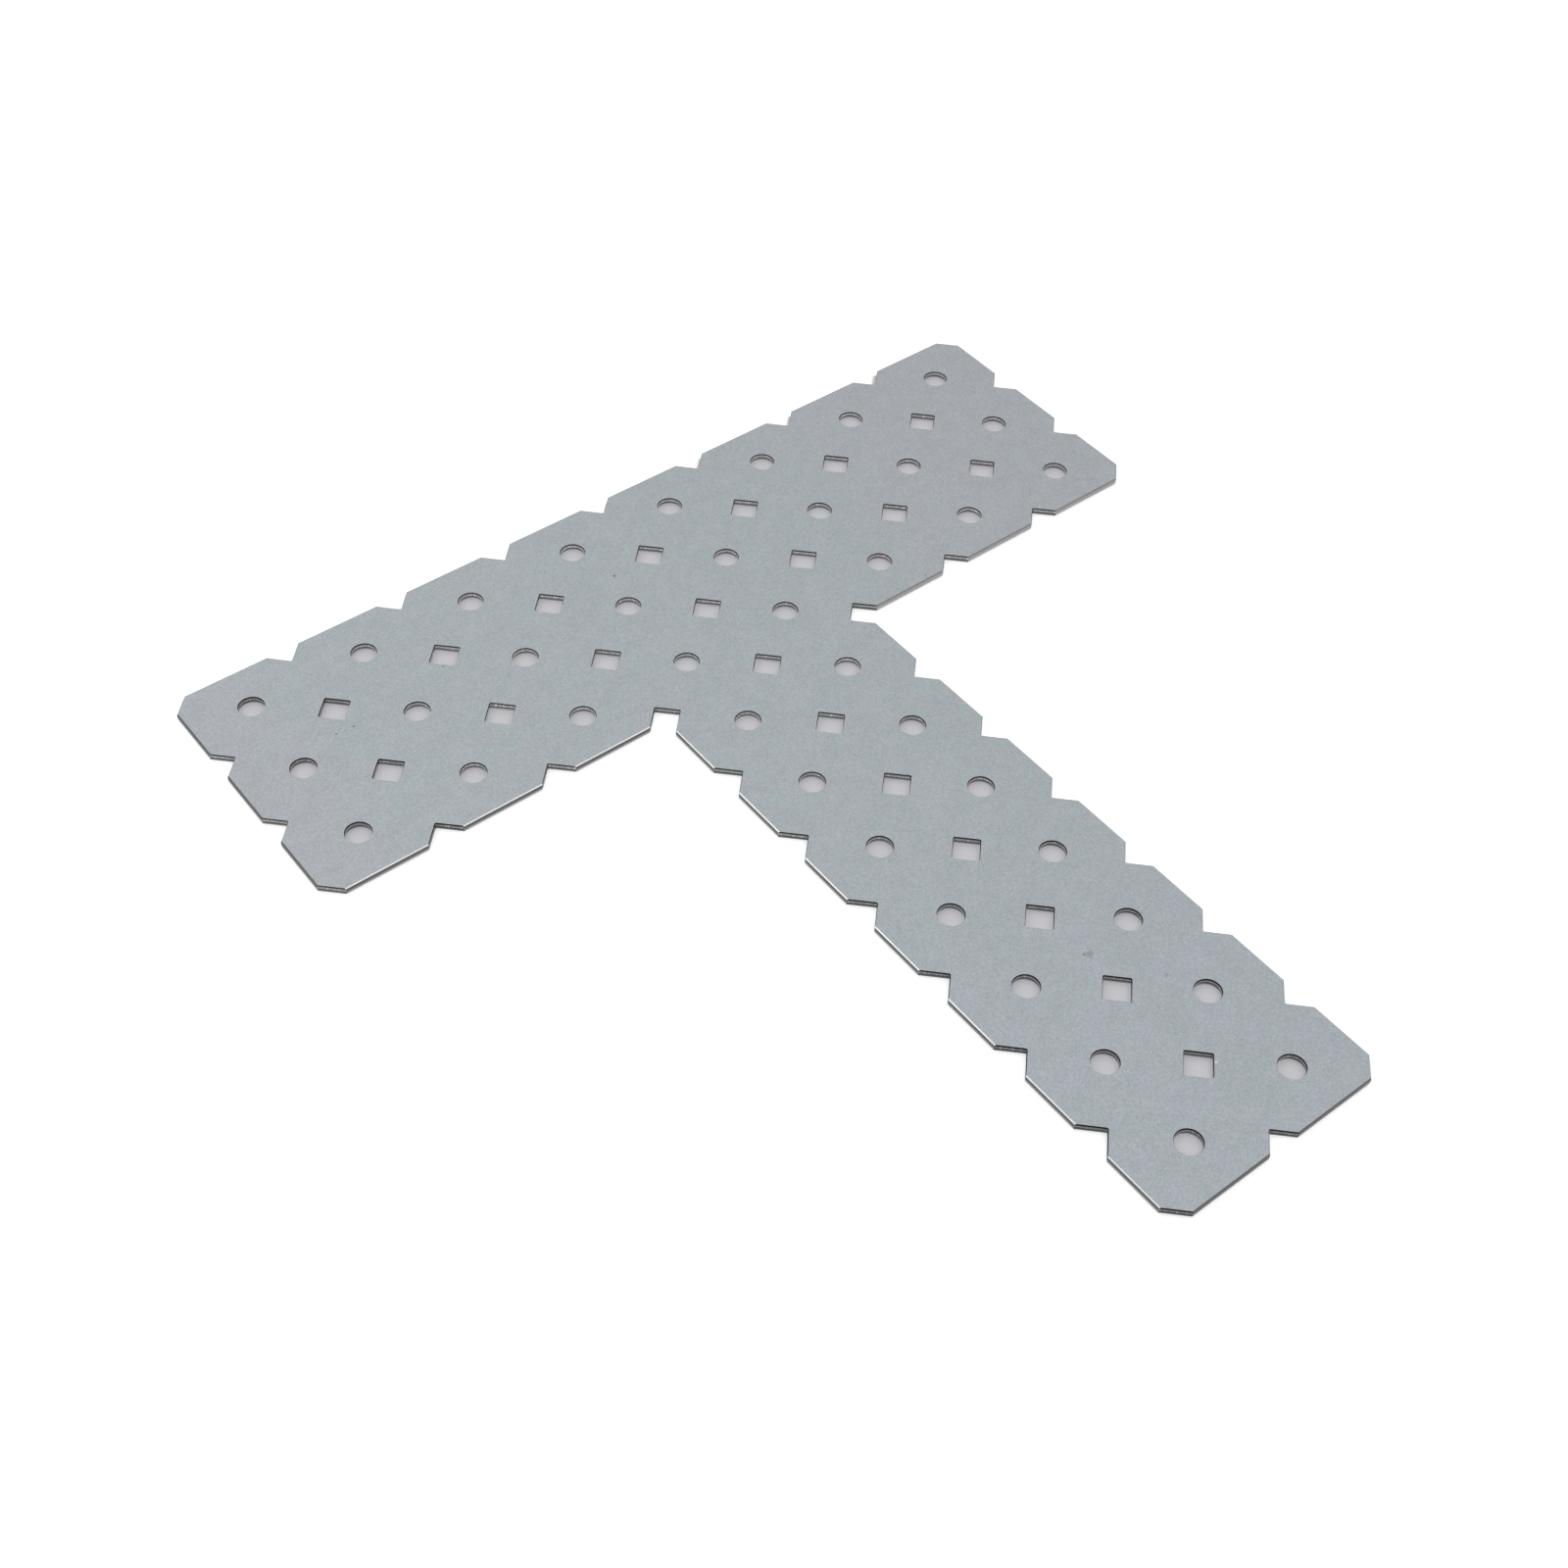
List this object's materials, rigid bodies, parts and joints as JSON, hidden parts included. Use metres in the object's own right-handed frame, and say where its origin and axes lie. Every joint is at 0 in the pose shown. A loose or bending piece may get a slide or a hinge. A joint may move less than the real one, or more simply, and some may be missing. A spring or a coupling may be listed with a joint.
{
  "type": "t-shaped bracket",
  "caption": "Flat T-shaped connector plate of zinc-coated steel, with a lattice of round nail holes and square holes and V-notched edges.",
  "frame": {"origin": "centre of the bounding box, on the plate's underside", "axes": "+Z is the sheet's normal, towards the side with the rolled rims; +X runs along the bar; +Y runs from the stem's free end to the bar"},
  "size_m": [0.2, 0.2, 0.0015],
  "materials": {
    "zinc_steel": "satin zinc coating, pale blue-grey, faint mottle"
  },
  "bodies": {
    "root": {"t_plate": "zinc_steel"}
  },
  "joints": []
}
